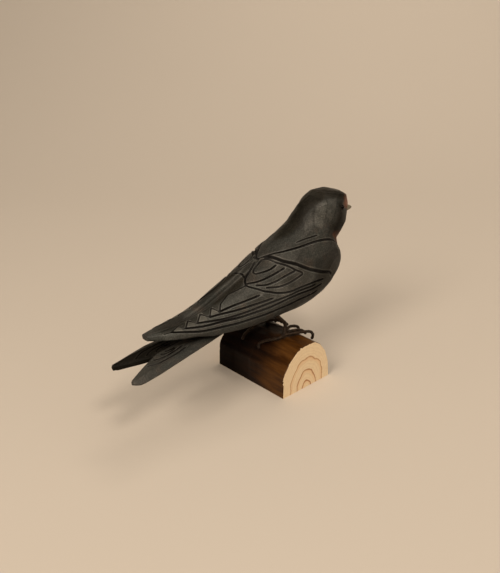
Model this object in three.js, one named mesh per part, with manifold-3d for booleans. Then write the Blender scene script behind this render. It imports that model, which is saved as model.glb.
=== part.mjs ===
import * as THREE from "three";
import { mergeVertices } from "three/addons/utils/BufferGeometryUtils.js";
import Module from "manifold-3d";

// A carved and painted wooden swallow that stands on wire legs on a half log.
// Millimetres, Z up. The swallow looks along +X, its left side is +Y, the log lies along Y,
// and the origin is the middle of the log's flat underside.

// The log
const LOG_LENGTH = 56.5;
const LOG_END = [
  [-20, 0],
  [-19.6, 15.2],
  [-14.3, 22.5],
  [-8.6, 27],
  [-2.1, 28.6],
  [6.2, 28.4],
  [10.9, 25.4],
  [16, 18.8],
  [19, 10.4],
  [20, 0],
];

// Cross-sections of the carving from the wing tips up to the crown. Each row gives
// back x, back z, belly x, belly z, half width, where it is widest (0 back, 1 belly),
// roundness above, roundness below, height of the wing's lower edge (0 back, 1 belly),
// half distance between the wings' inner edges, depth of the valley between them,
// and how far the wing's lower edge stands out.
const SECTIONS = [
  [-94.4, 58.8, -94.4, 55.4, 2.6, 0.5, 3, 3, 0.9, 1.8, 0, 0],
  [-89, 59.2, -89.2, 54.2, 4.7, 0.6, 2.3, 2.8, 0.92, 2.4, 0.6, 0.1],
  [-80, 59.4, -80.3, 52.5, 8, 0.66, 2.1, 2.8, 0.92, 3.2, 1.4, 0.3],
  [-68, 60.4, -68, 50.4, 10.6, 0.68, 2, 2.6, 0.92, 3.8, 2, 0.5],
  [-55, 63.5, -55, 46, 13, 0.66, 2, 2.2, 0.8, 4.4, 2.2, 0.8],
  [-40, 68.9, -40, 42.6, 15.2, 0.6, 2, 2, 0.8, 4.8, 1.8, 1.2],
  [-24.5, 74.7, -25.2, 40.6, 17.2, 0.55, 2, 2, 0.81, 5, 0.8, 1.4],
  [-11.5, 81.2, -12, 39.4, 18, 0.52, 2, 2, 0.81, 6, 0, 1.4],
  [0.5, 87.1, 3, 38.4, 18.4, 0.52, 2, 2, 0.8, 7, 0, 1.2],
  [8.3, 90.5, 18, 39, 18.2, 0.53, 2, 2.05, 0.8, 7, 0, 0.8],
  [14, 93.7, 34, 42.8, 17.4, 0.54, 2, 2.08, 0.8, 7, 0, 0.3],
  [18, 97.3, 45.5, 49.8, 16.3, 0.54, 2, 2.1, 0.8, 7, 0, 0],
  [21, 100.6, 51.3, 58, 15.2, 0.52, 2, 2.1, 0.8, 7, 0, 0],
  [22.8, 102.8, 51, 65.8, 13.2, 0.49, 2, 2.05, 0.8, 7, 0, 0],
  [24.8, 104.2, 48.6, 72.6, 12.6, 0.48, 2, 2.05, 0.8, 7, 0, 0],
  [27.2, 105.3, 51.6, 77.8, 13.5, 0.46, 2, 2, 0.8, 7, 0, 0],
  [29.8, 106.3, 56.4, 83.8, 13.6, 0.43, 2, 1.9, 0.8, 7, 0, 0],
  [32.5, 107.3, 58.9, 90.2, 12.7, 0.42, 2, 1.8, 0.8, 6.5, 0, 0],
  [36, 108, 59, 97, 11.2, 0.42, 2, 1.9, 0.8, 6, 0, 0],
  [39.6, 108.1, 57.8, 102.2, 9, 0.46, 2, 2, 0.8, 5, 0, 0],
  [43.2, 108.2, 54, 105.5, 6.2, 0.5, 2, 2, 0.8, 3, 0, 0],
];
const RINGS_PER_SECTION = 2;

// Places round the girth: 0 is the middle of the back and 1 the middle of the belly.
const RIDGE = 0.16;
const WING_EDGE = 0.66;
const UNDER_WING = 0.7;
const UNDERCUT = 1.6;
const LIP_RUN = 0.25;
const LIP_CURVE = 1.5;
const RIDGE_FURTHEST = 0.9;
const GIRTH = [0, 0.08, RIDGE, 0.24, 0.32, 0.4, 0.48, 0.55, 0.61, WING_EDGE, UNDER_WING, 0.79, 0.88, 1];

// Carved lines, each a path of [section number, girth], cut on both sides of the swallow.
const COLLAR = [
  [6.72, -0.05], [6.72, 0], [6.86, 0.06], [7.38, 0.163], [8.02, 0.217], [8.9, 0.255], [10.15, 0.3],
  [11.3, 0.372], [12.17, 0.468], [12.9, 0.61], [13.5, 0.8], [13.8, 1], [13.78, 1.06],
];
const WING_FRONT = [
  [6.78, 0.06], [7.23, 0.195], [7.55, 0.269], [8.32, 0.36], [8.88, 0.413], [9.48, 0.466],
  [10.3, 0.551], [10.5, 0.62],
];
const MANTLE_END = [[5.84, -0.05], [5.85, 0], [5.8, 0.07], [5.72, 0.16]];
const COVERT_EDGE = [
  [6.65, 0.01], [6.2, 0.08], [5.87, 0.133], [5.6, 0.225], [6, 0.333], [6.3, 0.38], [6.82, 0.439],
  [7.45, 0.48], [8.08, 0.495], [9.05, 0.518], [9.87, 0.558],
];
const COVERT_BAR = [
  [6.76, 0.1], [6.96, 0.163], [7.2, 0.24], [7.55, 0.302], [7.97, 0.368], [8.43, 0.416],
];
const COVERTS = [
  [[6.76, 0.107], [6.32, 0.125], [6.12, 0.182], [6.38, 0.219], [6.78, 0.246], [7.17, 0.247]],
  [[5.68, 0.216], [5.92, 0.249], [6.33, 0.278], [6.85, 0.296], [7.47, 0.307]],
  [[5.92, 0.279], [6.28, 0.323], [6.82, 0.35], [7.4, 0.359], [7.95, 0.37]],
  [[6.28, 0.346], [6.83, 0.394], [7.4, 0.417], [8.03, 0.42], [8.43, 0.417]],
];
const PRIMARIES = [
  [
    [1.82, 0.27], [2.83, 0.394], [3.87, 0.486], [5.03, 0.519], [6.07, 0.554], [7.3, 0.585],
    [8.08, 0.592], [9.5, 0.618],
  ],
  [
    [2.58, 0.278], [3.62, 0.391], [4.58, 0.448], [5.53, 0.478], [6.7, 0.516], [8.03, 0.54],
    [9.8, 0.588],
  ],
  [
    [3.18, 0.272], [4.15, 0.393], [5.08, 0.435], [6.07, 0.461], [7.35, 0.504], [8.03, 0.515],
    [9.4, 0.548],
  ],
  [[3.8, 0.29], [4.67, 0.365], [5.58, 0.411], [6.72, 0.458]],
  [[4.25, 0.295], [4.75, 0.314], [5.2, 0.336], [5.67, 0.356], [6.07, 0.369]],
];
// The tips of the long feathers, a zigzag from the last one forward to the wing's inner edge
const FEATHER_TIPS = [
  [1.42, 0.283], [1.82, 0.27], [2.34, 0.18], [2.58, 0.278], [2.9, 0.166], [3.18, 0.272],
  [3.55, 0.17], [3.8, 0.29], [4.07, 0.185], [4.25, 0.295], [4.45, 0.215], [4.85, 0.179],
  [5.6, 0.225],
];
const LINE_WIDTH = 1.3;
const LINE_DEPTH = 0.8;
const DEEP_WIDTH = 2;
const DEEP_DEPTH = 1.3;
const LINE_SPACING = 11;
const LINE_RUNS_OUT = 0.7;
const STROKE_OVERRUN = 0.07;
const FACET_TOLERANCE = 0.15;

// The two halves of the forked tail, slabs that rise a little forward.
// Each row gives x, inner edge y, crest y and outer edge y on the right side.
const RIGHT_PRONG = [
  [-34, 1.5, -5.6, -8],
  [-54, 1.5, -6.8, -10],
  [-74, 1.5, -8.2, -11.6],
  [-85, 1.2, -9.1, -12.4],
  [-91, 0, -9.6, -12.9],
  [-98, -2.5, -10, -13.3],
  [-105, -5.5, -10.4, -13.3],
  [-109.6, -7.8, -10.5, -12.5],
  [-111.8, -9.5, -10.4, -11.2],
];
// The left half is a little shorter and stands out further where the wings cover it.
const LEFT_PRONG = [
  [-34, 1.5, -5.6, -8],
  [-54, 1.5, -6.8, -10.6],
  [-74, 1.5, -8.4, -13],
  [-84, 1.2, -9.3, -14.4],
  [-89.5, 0, -9.8, -14.2],
  [-96.5, -2.5, -10.1, -13.8],
  [-103, -5.5, -10.2, -13.1],
  [-107.6, -7.6, -10.1, -12],
  [-109.8, -9, -9.9, -10.7],
];
// The section of a half, a row to each corner: its place across (1 inner edge, 2 crest, 3 outer edge),
// how far in it lies from there, and how far under the top
const PRONG_PROFILE = [
  [1, 0, 1.1],
  [1, 0.9, 0.2],
  [2, 0, 0],
  [3, 0, 2.2],
  [3, 0.5, 3.2],
  [3, 2, 4],
  [1, 0, 3.2],
];
const PRONG_RINGS = 13;
const PRONG_THIN_FROM = -108;
const PRONG_THIN_RUN = 9;
const TAIL_TOP = 45.2;
const TAIL_RISE = 0.1;
const TAIL_MIDDLE = -93;
const TAIL_TURN = THREE.MathUtils.degToRad(1);
const TAIL_TURN_AT = -40;
const TAIL_LINES = [
  [[-99, -4.8], [-93.4, -7.4], [-88.7, -7.8], [-80.7, -7.7], [-70.8, -6.2]],
  [[-93.4, -2.6], [-89.8, -4.6], [-85.5, -5.2], [-78, -4.7], [-71, -3.4]],
];

// Beak and eyes
// Each row of the beak gives x, height of its middle and half its height, from root to blunt tip.
const BEAK = [
  [54, 92.8, 3.4],
  [58, 92.4, 2.9],
  [62, 91.8, 2.3],
  [65.4, 91.3, 1.6],
  [67.4, 91, 0.9],
  [68.2, 90.9, 0.3],
];
const BEAK_FLATNESS = 0.85;
const BEAK_SIDES = 12;
const EYE_PLACE = [16.88, 0.475];
const EYE_RADIUS = 1.75;
const EYE_SUNK = 0.45;
const EYE_SIDES = 10;
const EYE_BANDS = 7;

// Wire legs and toes
const LEG_RADIUS = 1.25;
const TOE_RADIUS = 0.95;
const LEG_SIDES = 8;
const LEG_STEPS = 8;
const TOE_SIDES = 6;
const TOE_STEPS = 6;
const CLEARANCE = 0.3;
const RIGHT_LEG = [
  [-8.6, -9.2, 46.2], [-6.4, -9.4, 42.6], [-3.2, -9.8, 39], [-0.9, -10.5, 36], [-1.9, -11.3, 32.8],
  [-3.2, -11.9, 30], [-3.5, -12, 25],
];
const RIGHT_TOES = [
  [
    [-3.3, -12, 29.9], [0.1, -13.6, 30.1], [4.4, -15.4, 30], [8.8, -17, 29.7], [13.6, -18, 28.3],
    [16.1, -17.8, 25.4], [16.5, -16.6, 21.6],
  ],
  [[-3.3, -12, 30], [1.4, -12.2, 30.6], [6.2, -13.4, 30.4], [10.4, -14.6, 28.8], [12.8, -15, 26]],
  [
    [-3.2, -11.9, 30.4], [0.6, -10.2, 31], [4.4, -8.7, 31.3], [8.2, -8.6, 30.6],
    [11.5, -9.3, 29.1], [12.4, -9.9, 26.6],
  ],
  [
    [-3.3, -12, 29.9], [-6.4, -11.9, 29.3], [-10, -8.5, 27.9], [-12.3, -4.3, 26.1],
    [-14.9, -2.5, 24.2], [-16.3, -4, 22.4],
  ],
];
const LEFT_LEG = [
  [-5.4, 9.2, 46.2], [-3.4, 9.2, 42.6], [0, 9.2, 38.4], [2.6, 9, 35.6], [2.9, 8.7, 32], [2.7, 8.5, 25],
];
const LEFT_TOES = [
  [[2.7, 8.5, 30], [8.4, 11.6, 29.7], [14.2, 14.6, 27.4], [16.4, 15.4, 24.6], [17.6, 15.6, 20.6]],
  [[2.7, 8.5, 30], [7.6, 8.1, 30.6], [12.4, 7.5, 28.3], [14.7, 7.3, 24.4]],
  [[2.7, 8.5, 30], [6.2, 4.9, 30.3], [9.8, 1, 29.2], [11.9, -1, 26.8]],
  [[2.7, 8.5, 30], [-4, 9.2, 30], [-10.4, 10, 27.8], [-14, 10.6, 25.8], [-16.3, 10.8, 22.6]],
];

const { clamp } = THREE.MathUtils;
const wasm = await Module();
wasm.setup();

// Closed solids
function toSolid(geometry) {
  const bare = geometry.index ? geometry.toNonIndexed() : geometry.clone();
  bare.deleteAttribute("normal");
  bare.deleteAttribute("uv");
  const merged = mergeVertices(bare, 1e-4);
  const mesh = new wasm.Mesh({
    numProp: 3,
    vertProperties: new Float32Array(merged.getAttribute("position").array),
    triVerts: new Uint32Array(merged.index.array),
  });
  return new wasm.Manifold(mesh);
}

function toGeometry(solid) {
  const mesh = solid.getMesh();
  const geometry = new THREE.BufferGeometry();
  geometry.setAttribute("position", new THREE.BufferAttribute(mesh.vertProperties, 3));
  geometry.setIndex(new THREE.BufferAttribute(mesh.triVerts, 1));
  geometry.computeVertexNormals();
  return geometry;
}

// A closed skin over rings of points that all run the same way round
function skinOver(rings) {
  const around = rings[0].length;
  const points = rings.flat();
  const faces = [];
  for (let i = 0; i + 1 < rings.length; i += 1) {
    for (let j = 0; j < around; j += 1) {
      const next = (j + 1) % around;
      const a = i * around + j;
      const b = i * around + next;
      const c = (i + 1) * around + next;
      const d = (i + 1) * around + j;
      faces.push(a, b, c, a, c, d);
    }
  }
  [rings[0], rings[rings.length - 1]].forEach((ring, end) => {
    const middle = ring.reduce((sum, p) => sum.add(p), new THREE.Vector3()).divideScalar(around);
    const hub = points.push(middle) - 1;
    const start = end === 0 ? 0 : (rings.length - 1) * around;
    for (let j = 0; j < around; j += 1) {
      const next = (j + 1) % around;
      if (end === 0) faces.push(hub, start + next, start + j);
      else faces.push(hub, start + j, start + next);
    }
  });
  const geometry = new THREE.BufferGeometry().setFromPoints(points);
  geometry.setIndex(faces);
  return toSolid(geometry);
}

// A smooth value of every column of a table of rows, at a row number that need not be whole
function between(rows, at) {
  const last = rows.length - 1;
  const place = clamp(at, 0, last - 1e-9);
  const i = Math.floor(place);
  const t = place - i;
  const a = rows[Math.max(i - 1, 0)];
  const b = rows[i];
  const c = rows[i + 1];
  const d = rows[Math.min(i + 2, last)];
  return b.map((value, k) => {
    const slope = c[k] - a[k];
    const bend = 2 * a[k] - 5 * b[k] + 4 * c[k] - d[k];
    const twist = 3 * (b[k] - c[k]) + d[k] - a[k];
    return value + 0.5 * t * (slope + t * (bend + t * twist));
  });
}

// The point of the carving's skin at a section number and a place round the girth, on its right side.
// A girth under 0 or over 1 carries on over the middle line to the left side.
function skinPoint(section, girth) {
  let v = girth;
  let side = -1;
  if (v < 0) {
    v = -v;
    side = 1;
  } else if (v > 1) {
    v = 2 - v;
    side = 1;
  }
  const row = between(SECTIONS, section);
  const [backX, backZ, bellyX, bellyZ, width, widest, upper, lower, edge, ridge, valley, lip] = row;
  const quarter = Math.PI / 2;
  const ridgeAngle = Math.asin(Math.pow(Math.min(ridge / width, RIDGE_FURTHEST), upper / 2));
  const edgeAngle = Math.asin(Math.pow(clamp((edge - widest) / (1 - widest), 0, 1), lower / 2));
  let angle = 0;
  if (v < RIDGE) {
    angle = (ridgeAngle * v) / RIDGE;
  } else if (v < WING_EDGE) {
    angle = ridgeAngle + ((quarter + edgeAngle - ridgeAngle) * (v - RIDGE)) / (WING_EDGE - RIDGE);
  } else {
    angle = quarter + edgeAngle + ((quarter - edgeAngle) * (v - WING_EDGE)) / (1 - WING_EDGE);
  }
  let down = 0;
  let out = 0;
  if (angle <= quarter) {
    down = widest * (1 - Math.pow(Math.cos(angle), 2 / upper));
    out = width * Math.pow(Math.sin(angle), 2 / upper);
  } else {
    down = widest + (1 - widest) * Math.pow(Math.sin(angle - quarter), 2 / lower);
    out = width * Math.pow(Math.max(Math.cos(angle - quarter), 0), 2 / lower);
  }
  if (v <= WING_EDGE) {
    out += lip * Math.pow(clamp(1 - (WING_EDGE - v) / LIP_RUN, 0, 1), LIP_CURVE);
  } else {
    const into = clamp((v - WING_EDGE) / (UNDER_WING - WING_EDGE), 0, 1);
    const fade = clamp((1 - v) / (1 - UNDER_WING), 0, 1);
    out -= clamp(lip, 0, 1) * UNDERCUT * into * fade;
  }
  const height = Math.hypot(bellyX - backX, bellyZ - backZ);
  const sunk = down + (valley * Math.max(1 - v / RIDGE, 0)) / height;
  return new THREE.Vector3(
    backX + (bellyX - backX) * sunk,
    side * Math.max(out, 0),
    backZ + (bellyZ - backZ) * sunk,
  );
}

function skinNormal(section, girth) {
  const step = 0.01;
  const along = skinPoint(section + step, girth).sub(skinPoint(section - step, girth));
  const down = skinPoint(section, girth + step).sub(skinPoint(section, girth - step));
  return down.cross(along).normalize();
}

function mirrored(points) {
  return points.map((p) => new THREE.Vector3(p.x, -p.y, p.z));
}

// A V-shaped groove tool along points of a surface with their outward normals.
// It rises by its share of LINE_RUNS_OUT at a point, so that the line runs out there.
function grooveTool(points, normals, shares, width, depth) {
  const rings = points.map((p, i) => {
    const before = points[Math.max(i - 1, 0)];
    const after = points[Math.min(i + 1, points.length - 1)];
    const along = after.clone().sub(before).normalize();
    const across = along.clone().cross(normals[i]).normalize();
    const out = across.clone().cross(along).normalize();
    const lift = depth * LINE_RUNS_OUT * shares[i];
    return [
      p.clone().addScaledVector(out, depth + lift).addScaledVector(across, width),
      p.clone().addScaledVector(out, depth + lift).addScaledVector(across, -width),
      p.clone().addScaledVector(out, lift - depth),
    ];
  });
  const tool = skinOver(rings);
  return tool.volume() < 0 ? skinOver(rings.map((ring) => ring.reverse())) : tool;
}

// A line along a path of [section number, girth] on the right side, and the same on the left
function lineTools(path, width, depth) {
  const places = [];
  const parts = path.length - 1;
  const corners = path.map((p) => skinPoint(...p));
  const length = corners.slice(1).reduce((sum, p, i) => sum + p.distanceTo(corners[i]), 0);
  const count = Math.max(Math.round(length / LINE_SPACING), parts);
  for (let i = 0; i <= count; i += 1) {
    places.push(between(path, (i * parts) / count));
  }
  const points = places.map((p) => skinPoint(...p));
  const normals = places.map((p) => skinNormal(...p));
  // A line that ends past a middle line keeps its depth, because it meets its mirror image there.
  const shares = places.map(([, girth], i) => {
    const last = i === 0 || i === count;
    return last && girth > 0 && girth < 1 ? 1 : 0;
  });
  return [
    grooveTool(points, normals, shares, width, depth),
    grooveTool(mirrored(points), mirrored(normals), shares, width, depth),
  ];
}

// A zigzag is cut as separate straight strokes that run a little past its corners.
function strokeTools(path, width, depth) {
  return path.slice(1).flatMap((to, i) => {
    const from = path[i];
    const start = from.map((value, k) => value - STROKE_OVERRUN * (to[k] - value));
    const end = to.map((value, k) => value + STROKE_OVERRUN * (value - from[k]));
    return lineTools([start, end], width, depth);
  });
}

// The carved block: body, head and both folded wings
function carvedBlock() {
  const last = SECTIONS.length - 1;
  const count = Math.round(last * RINGS_PER_SECTION);
  const rings = [];
  for (let i = 0; i <= count; i += 1) {
    const section = (last * i) / count;
    const right = GIRTH.map((v) => skinPoint(section, v));
    const left = mirrored(right.slice(1, -1)).reverse();
    rings.push([...right, ...left]);
  }
  return skinOver(rings);
}

function tailTop(x) {
  return TAIL_TOP + TAIL_RISE * (x - TAIL_MIDDLE);
}

function turnedWithTail(point) {
  const x = point.x - TAIL_TURN_AT;
  return new THREE.Vector3(
    TAIL_TURN_AT + x * Math.cos(TAIL_TURN) - point.y * Math.sin(TAIL_TURN),
    x * Math.sin(TAIL_TURN) + point.y * Math.cos(TAIL_TURN),
    point.z,
  );
}

// Side 1 is the right half and side -1 the left one.
function prong(rows, side) {
  const rings = [];
  for (let i = 0; i < PRONG_RINGS; i += 1) {
    const row = between(rows, ((rows.length - 1) * i) / (PRONG_RINGS - 1));
    const x = row[0];
    const thin = 1 - clamp((PRONG_THIN_FROM - x) / PRONG_THIN_RUN, 0, 1);
    const ring = PRONG_PROFILE.map(([edge, inward, under]) => {
      const y = row[edge] + (edge === 1 ? -inward : inward) * thin;
      return turnedWithTail(new THREE.Vector3(x, side * y, tailTop(x) - under * thin));
    });
    rings.push(side > 0 ? ring.reverse() : ring);
  }
  return skinOver(rings);
}

function tailLineTools() {
  return TAIL_LINES.flatMap((path) =>
    [1, -1].map((side) => {
      const count = 2 * (path.length - 1);
      const points = [];
      for (let i = 0; i <= count; i += 1) {
        const [x, y] = between(path, i / 2);
        points.push(turnedWithTail(new THREE.Vector3(x, side * y, tailTop(x))));
      }
      const up = points.map(() => new THREE.Vector3(0, 0, 1));
      const shares = points.map((_, i) => (i === 0 || i === count ? 1 : 0));
      return grooveTool(points, up, shares, LINE_WIDTH, LINE_DEPTH);
    }),
  );
}

function beak() {
  const rings = BEAK.map(([x, z, radius]) => {
    const ring = [];
    for (let i = 0; i < BEAK_SIDES; i += 1) {
      const angle = (2 * Math.PI * i) / BEAK_SIDES;
      const y = -BEAK_FLATNESS * radius * Math.sin(angle);
      ring.push(new THREE.Vector3(x, y, z + radius * Math.cos(angle)));
    }
    return ring;
  });
  return skinOver(rings);
}

function eyeCentre(side) {
  const place = skinPoint(...EYE_PLACE);
  const out = skinNormal(...EYE_PLACE);
  place.addScaledVector(out, -EYE_SUNK * EYE_RADIUS);
  return new THREE.Vector3(place.x, -side * place.y, place.z);
}

function ball(centre, radius) {
  const geometry = new THREE.SphereGeometry(radius, EYE_SIDES, EYE_BANDS);
  geometry.translate(centre.x, centre.y, centre.z);
  return toSolid(geometry);
}

// Wire along a path
function wire(path, radius, sides, steps) {
  const bends = path.map((p) => new THREE.Vector3(...p));
  const curve = new THREE.CatmullRomCurve3(bends, false, "centripetal");
  const section = new THREE.Shape();
  for (let i = 0; i < sides; i += 1) {
    const angle = (2 * Math.PI * i) / sides;
    const x = radius * Math.cos(angle);
    const y = radius * Math.sin(angle);
    if (i === 0) section.moveTo(x, y);
    else section.lineTo(x, y);
  }
  return toSolid(new THREE.ExtrudeGeometry(section, { steps, bevelEnabled: false, extrudePath: curve }));
}

function legWithToes(leg, toes) {
  let solid = wire(leg, LEG_RADIUS, LEG_SIDES, LEG_STEPS);
  toes.forEach((toe) => {
    solid = solid.add(wire(toe, TOE_RADIUS, TOE_SIDES, TOE_STEPS));
  });
  return solid;
}

function logBlock() {
  const end = new THREE.Shape(LOG_END.map(([x, z]) => new THREE.Vector2(x, z)));
  const geometry = new THREE.ExtrudeGeometry(end, { depth: LOG_LENGTH, bevelEnabled: false, steps: 1 });
  geometry.translate(0, 0, -LOG_LENGTH / 2);
  geometry.rotateX(Math.PI / 2);
  return toSolid(geometry);
}

// Put together
const tools = [
  ...lineTools(COLLAR, LINE_WIDTH, LINE_DEPTH),
  ...lineTools(WING_FRONT, DEEP_WIDTH, DEEP_DEPTH),
  ...lineTools(MANTLE_END, LINE_WIDTH, LINE_DEPTH),
  ...lineTools(COVERT_EDGE, LINE_WIDTH, LINE_DEPTH),
  ...lineTools(COVERT_BAR, LINE_WIDTH, LINE_DEPTH),
  ...COVERTS.flatMap((path) => lineTools(path, LINE_WIDTH, LINE_DEPTH)),
  ...PRIMARIES.flatMap((path) => lineTools(path, LINE_WIDTH, LINE_DEPTH)),
  ...strokeTools(FEATHER_TIPS, LINE_WIDTH, LINE_DEPTH),
  ...tailLineTools(),
];
const sockets = [RIGHT_LEG, LEFT_LEG].map((leg) => wire(leg, LEG_RADIUS + CLEARANCE, LEG_SIDES, LEG_STEPS));

let bird = carvedBlock().add(prong(RIGHT_PRONG, 1)).add(prong(LEFT_PRONG, -1)).add(beak());
tools.forEach((tool) => {
  bird = bird.subtract(tool);
});
[1, -1].forEach((side) => {
  bird = bird.subtract(ball(eyeCentre(side), EYE_RADIUS + CLEARANCE));
});
let log = logBlock();
sockets.forEach((socket) => {
  bird = bird.subtract(socket);
  log = log.subtract(socket);
});
// Chips that a cut leaves loose are dropped, and flat neighbours are merged.
const byVolume = bird.decompose().sort((a, b) => b.volume() - a.volume());
bird = byVolume[0].simplify(FACET_TOLERANCE);

function material(color, roughness, metalness) {
  return new THREE.MeshStandardMaterial({ color, roughness, metalness });
}

const swallowFigure = new THREE.Group();
function addPiece(name, solid, look) {
  const mesh = new THREE.Mesh(toGeometry(solid), look);
  mesh.name = name;
  swallowFigure.add(mesh);
}

addPiece("swallow", bird, material(0x3b3a36, 0.62, 0));
addPiece("right_eye", ball(eyeCentre(1), EYE_RADIUS), material(0x0b0908, 0.12, 0));
addPiece("left_eye", ball(eyeCentre(-1), EYE_RADIUS), material(0x0b0908, 0.12, 0));
addPiece("right_leg", legWithToes(RIGHT_LEG, RIGHT_TOES), material(0x4a3b2c, 0.5, 0.6));
addPiece("left_leg", legWithToes(LEFT_LEG, LEFT_TOES), material(0x4a3b2c, 0.5, 0.6));
addPiece("half_log", log, material(0x4b2f1a, 0.55, 0));

export default swallowFigure;
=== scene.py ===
"""A carved and painted wooden swallow on wire legs and a half log: fine carving, paint and studio.

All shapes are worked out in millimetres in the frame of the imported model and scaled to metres
when a mesh is made. The swallow looks along +X, its left side is +Y, and +Z is up.
"""

import math

import bpy
import numpy as np
from mathutils import Matrix, Vector


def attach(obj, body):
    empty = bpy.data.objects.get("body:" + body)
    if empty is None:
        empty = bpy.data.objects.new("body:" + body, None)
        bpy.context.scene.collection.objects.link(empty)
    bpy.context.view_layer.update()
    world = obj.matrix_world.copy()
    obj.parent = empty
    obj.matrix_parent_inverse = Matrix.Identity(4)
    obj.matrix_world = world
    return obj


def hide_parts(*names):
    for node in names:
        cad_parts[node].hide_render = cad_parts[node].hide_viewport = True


MM = 0.001
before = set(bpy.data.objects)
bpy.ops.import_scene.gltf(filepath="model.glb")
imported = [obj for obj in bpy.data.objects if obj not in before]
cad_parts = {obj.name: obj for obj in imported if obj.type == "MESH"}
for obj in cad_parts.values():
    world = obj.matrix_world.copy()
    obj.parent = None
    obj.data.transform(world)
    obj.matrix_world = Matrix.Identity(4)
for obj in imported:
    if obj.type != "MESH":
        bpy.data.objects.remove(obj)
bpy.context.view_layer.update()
random = np.random.default_rng(7)

# Camera of the photograph: place in millimetres, heading, downward pitch and lens
CAMERA_AT = (-289.228, -285.028, 241.748)
CAMERA_AZIMUTH = -43.384
CAMERA_PITCH = 24.511
CAMERA_LENS = 47.12

# Form of the carving
# back x, back z, belly x, belly z, half width, widest place, roundness above and below,
# height of the wing's lower edge, half distance of the wings' inner edges, valley depth, lip
SECTIONS = np.array([
    [-94.4, 58.8, -94.4, 55.4, 2.6, 0.5, 3, 3, 0.9, 1.8, 0, 0],
    [-89, 59.2, -89.2, 54.2, 4.7, 0.6, 2.3, 2.8, 0.92, 2.4, 0.6, 0.1],
    [-80, 59.4, -80.3, 52.5, 8, 0.66, 2.1, 2.8, 0.92, 3.2, 1.4, 0.3],
    [-68, 60.4, -68, 50.4, 10.6, 0.68, 2, 2.6, 0.92, 3.8, 2, 0.5],
    [-55, 63.5, -55, 46, 13, 0.66, 2, 2.2, 0.8, 4.4, 2.2, 0.8],
    [-40, 68.9, -40, 42.6, 15.2, 0.6, 2, 2, 0.8, 4.8, 1.8, 1.2],
    [-24.5, 74.7, -25.2, 40.6, 17.2, 0.55, 2, 2, 0.81, 5, 0.8, 1.4],
    [-11.5, 81.2, -12, 39.4, 18, 0.52, 2, 2, 0.81, 6, 0, 1.4],
    [0.5, 87.1, 3, 38.4, 18.4, 0.52, 2, 2, 0.8, 7, 0, 1.2],
    [8.3, 90.5, 18, 39, 18.2, 0.53, 2, 2.05, 0.8, 7, 0, 0.8],
    [14, 93.7, 34, 42.8, 17.4, 0.54, 2, 2.08, 0.8, 7, 0, 0.3],
    [18, 97.3, 45.5, 49.8, 16.3, 0.54, 2, 2.1, 0.8, 7, 0, 0],
    [21, 100.6, 51.3, 58, 15.2, 0.52, 2, 2.1, 0.8, 7, 0, 0],
    [22.8, 102.8, 51, 65.8, 13.2, 0.49, 2, 2.05, 0.8, 7, 0, 0],
    [24.8, 104.2, 48.6, 72.6, 12.6, 0.48, 2, 2.05, 0.8, 7, 0, 0],
    [27.2, 105.3, 51.6, 77.8, 13.5, 0.46, 2, 2, 0.8, 7, 0, 0],
    [29.8, 106.3, 56.4, 83.8, 13.6, 0.43, 2, 1.9, 0.8, 7, 0, 0],
    [32.5, 107.3, 58.9, 90.2, 12.7, 0.42, 2, 1.8, 0.8, 6.5, 0, 0],
    [36, 108, 59, 97, 11.2, 0.42, 2, 1.9, 0.8, 6, 0, 0],
    [39.6, 108.1, 57.8, 102.2, 9, 0.46, 2, 2, 0.8, 5, 0, 0],
    [43.2, 108.2, 54, 105.5, 6.2, 0.5, 2, 2, 0.8, 3, 0, 0],
])
RIDGE = 0.16
WING_EDGE = 0.66
UNDER_WING = 0.7
UNDERCUT = 1.6
LIP_RUN = 0.25
LIP_CURVE = 1.5

# Carved lines on the right side, as paths of (section, girth)
COLLAR = [
    (6.72, -0.05), (6.72, 0), (6.86, 0.06), (7.38, 0.163), (8.02, 0.217), (8.9, 0.255),
    (10.15, 0.3), (11.3, 0.372), (12.17, 0.468), (12.9, 0.61), (13.5, 0.8), (13.8, 1),
    (13.78, 1.06),
]
COLLAR_ABOVE = [(11, 0.302), (9.98, 0.251), (8.65, 0.204)]
WING_FRONT = [
    (6.78, 0.06), (7.23, 0.195), (7.55, 0.269), (8.32, 0.36), (8.88, 0.413), (9.48, 0.466),
    (10.3, 0.551), (10.5, 0.62),
]
MANTLE_END = [(5.84, -0.05), (5.85, 0), (5.8, 0.07), (5.72, 0.16)]
COVERT_EDGE = [
    (6.65, 0.01), (6.2, 0.08), (5.87, 0.133), (5.6, 0.225), (6, 0.333), (6.3, 0.38), (6.82, 0.439),
    (7.45, 0.48), (8.08, 0.495), (9.05, 0.518), (9.87, 0.558),
]
COVERT_BAR = [(6.76, 0.1), (6.96, 0.163), (7.2, 0.24), (7.55, 0.302), (7.97, 0.368), (8.43, 0.416)]
COVERTS = [
    [(6.76, 0.107), (6.32, 0.125), (6.12, 0.182), (6.38, 0.219), (6.78, 0.246), (7.17, 0.247)],
    [(5.68, 0.216), (5.92, 0.249), (6.33, 0.278), (6.85, 0.296), (7.47, 0.307)],
    [(5.92, 0.279), (6.28, 0.323), (6.82, 0.35), (7.4, 0.359), (7.95, 0.37)],
    [(6.28, 0.346), (6.83, 0.394), (7.4, 0.417), (8.03, 0.42), (8.43, 0.417)],
]
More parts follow.
